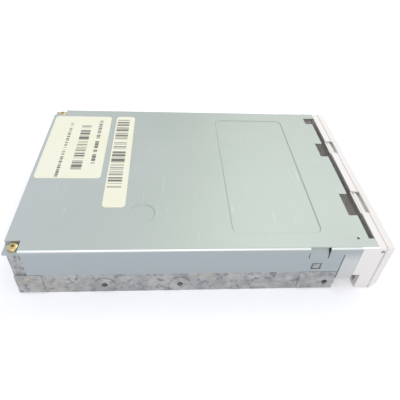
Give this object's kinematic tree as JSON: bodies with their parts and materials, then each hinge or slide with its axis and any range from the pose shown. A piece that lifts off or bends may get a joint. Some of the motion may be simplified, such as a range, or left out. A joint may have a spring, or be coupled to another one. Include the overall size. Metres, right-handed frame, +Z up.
{
  "type": "floppy disk drive",
  "caption": "Internal 3.5 inch floppy disk drive with folded steel cover, cast frame, sprung disk door, eject slide, sinking disk holder, stepping heads and spindle motor.",
  "frame": {"origin": "middle of the footprint, on the mounting plane", "axes": "+X to the right seen from the bezel, +Y from the bezel to the connectors, +Z up"},
  "size_m": [0.102, 0.1488, 0.0255],
  "materials": {
    "cast_frame": "die-cast, rough",
    "cover_steel": "zinc-plated sheet, satin",
    "yellow_zinc": "yellow zinc plating",
    "label_paper": "printed paper",
    "bezel_plastic": "fine moulded texture",
    "spring_steel": "drawn wire",
    "light_lens": "tinted clear resin",
    "pressed_steel": "zinc-plated sheet",
    "turned_steel": "turned and polished",
    "lever_plastic": "moulded acetal",
    "carriage_plastic": "moulded, glass filled",
    "ferrite": "lapped ceramic",
    "copper_winding": "enamelled copper",
    "magnet": "sintered ferrite",
    "board_laminate": "green solder mask",
    "chip_epoxy": "moulded epoxy",
    "bronze": "sintered bronze",
    "core_steel": "stacked laminations",
    "capacitor_sleeve": "shrink sleeve",
    "connector_black": "moulded",
    "gold_pin": "gold flash",
    "connector_white": "moulded",
    "tin_pin": "tin plating",
    "flex_film": "polyimide film"
  },
  "bodies": {
    "drive": {"chassis_frame": "cast_frame", "top_cover": "cover_steel", "cover_screws": "yellow_zinc", "label_main": "label_paper", "label_strip": "label_paper", "front_bezel": "bezel_plastic", "door_spring": "spring_steel", "activity_light": "light_lens", "slide_springs": "spring_steel", "guide_rods": "turned_steel", "stepper_bracket": "pressed_steel", "stepper_can": "pressed_steel", "stepper_stator": "copper_winding", "motor_board": "board_laminate", "motor_chips": "chip_epoxy", "spindle_bearing": "bronze", "stator_core": "core_steel", "stator_coils": "copper_winding", "controller_board": "board_laminate", "controller_chips": "chip_epoxy", "board_capacitors": "capacitor_sleeve", "data_connector": "connector_black", "data_pins": "gold_pin", "power_connector": "connector_white", "power_pins": "tin_pin", "switch_bodies": "connector_black", "track_zero_sensor": "connector_black", "head_flex_cable": "flex_film", "flex_socket": "connector_white", "board_screws": "turned_steel", "bracket_screws": "turned_steel"},
    "door": {"media_door": "bezel_plastic"},
    "slide": {"ejector_slide": "pressed_steel", "eject_button": "bezel_plastic"},
    "holder": {"disk_holder": "pressed_steel", "holder_studs": "turned_steel", "latch_rivet": "turned_steel", "latch_spring": "spring_steel"},
    "lever": {"latch_lever": "lever_plastic"},
    "carriage": {"head_carriage": "carriage_plastic", "lower_head": "ferrite", "arm_hinge_leaf": "spring_steel"},
    "arm": {"upper_arm": "carriage_plastic", "upper_head": "ferrite"},
    "screw": {"lead_screw": "turned_steel", "stepper_rotor": "magnet"},
    "spindle": {"rotor_cup": "pressed_steel", "rotor_magnet": "magnet", "spindle_shaft": "turned_steel", "spindle_hub": "turned_steel"},
    "clutch_pin": {"drive_pin": "turned_steel"},
    "write_protect_key": {"write_protect_plunger": "connector_white"},
    "density_key": {"density_plunger": "connector_white"},
    "disk_in_key": {"disk_in_plunger": "connector_white"}
  },
  "joints": [
    {"name": "door_hinge", "type": "hinge", "parent": "drive", "child": "door", "pos_m": [0, -0.0695, 0.0231], "axis": [1, 0, 0], "range_deg": [0, 88], "stiffness_Nm_per_rad": 0.0006, "springref_deg": -17.19, "deforming": ["door_spring"]},
    {"name": "slide_travel", "type": "slide", "parent": "drive", "child": "slide", "axis": [0, -1, 0], "range_m": [0, 0.0055], "deforming": ["slide_springs"]},
    {"name": "holder_drop", "type": "slide", "parent": "drive", "child": "holder", "axis": [0, 0, -1], "range_m": [0, 0.0025]},
    {"name": "lever_swing", "type": "hinge", "parent": "holder", "child": "lever", "pos_m": [-0.0306, 0.0226, 0.0203], "axis": [0, 0, 1], "range_deg": [0, 75], "stiffness_Nm_per_rad": 0.0004, "springref_deg": -17.19, "deforming": ["latch_spring"]},
    {"name": "head_travel", "type": "slide", "parent": "drive", "child": "carriage", "axis": [0, -1, 0], "range_m": [0, 0.0148], "deforming": ["head_flex_cable"]},
    {"name": "arm_hinge", "type": "hinge", "parent": "carriage", "child": "arm", "pos_m": [0, 0.0496, 0.0166], "axis": [1, 0, 0], "range_deg": [0, 8]},
    {"name": "screw_spin", "type": "hinge", "parent": "drive", "child": "screw", "pos_m": [0.018, 0.0326, 0.0105], "axis": [0, 1, 0], "range_deg": [0, 1420.9]},
    {"name": "spindle_spin", "type": "hinge", "parent": "drive", "child": "spindle", "pos_m": [0, -0.0194, 0.008], "axis": [0, 0, 1], "continuous": true},
    {"name": "drive_pin_dip", "type": "slide", "parent": "spindle", "child": "clutch_pin", "axis": [0, 0, -1], "range_m": [0, 0.0009], "stiffness_N_per_m": 50, "springref_m": -0.0008},
    {"name": "write_protect_press", "type": "slide", "parent": "drive", "child": "write_protect_key", "axis": [0, 0, -1], "range_m": [0, 0.0012], "stiffness_N_per_m": 50, "springref_m": -0.0008},
    {"name": "density_press", "type": "slide", "parent": "drive", "child": "density_key", "axis": [0, 0, -1], "range_m": [0, 0.0012], "stiffness_N_per_m": 50, "springref_m": -0.0008},
    {"name": "disk_in_press", "type": "slide", "parent": "drive", "child": "disk_in_key", "axis": [0, 0, -1], "range_m": [0, 0.0012], "stiffness_N_per_m": 50, "springref_m": -0.0008}
  ],
  "couplings": [
    {"joint": "holder_drop", "follows": "slide_travel", "ratio": 0.45455},
    {"joint": "arm_hinge", "follows": "slide_travel", "rad_per_m": 25.387},
    {"joint": "screw_spin", "follows": "head_travel", "rad_per_m": 1675.5}
  ]
}
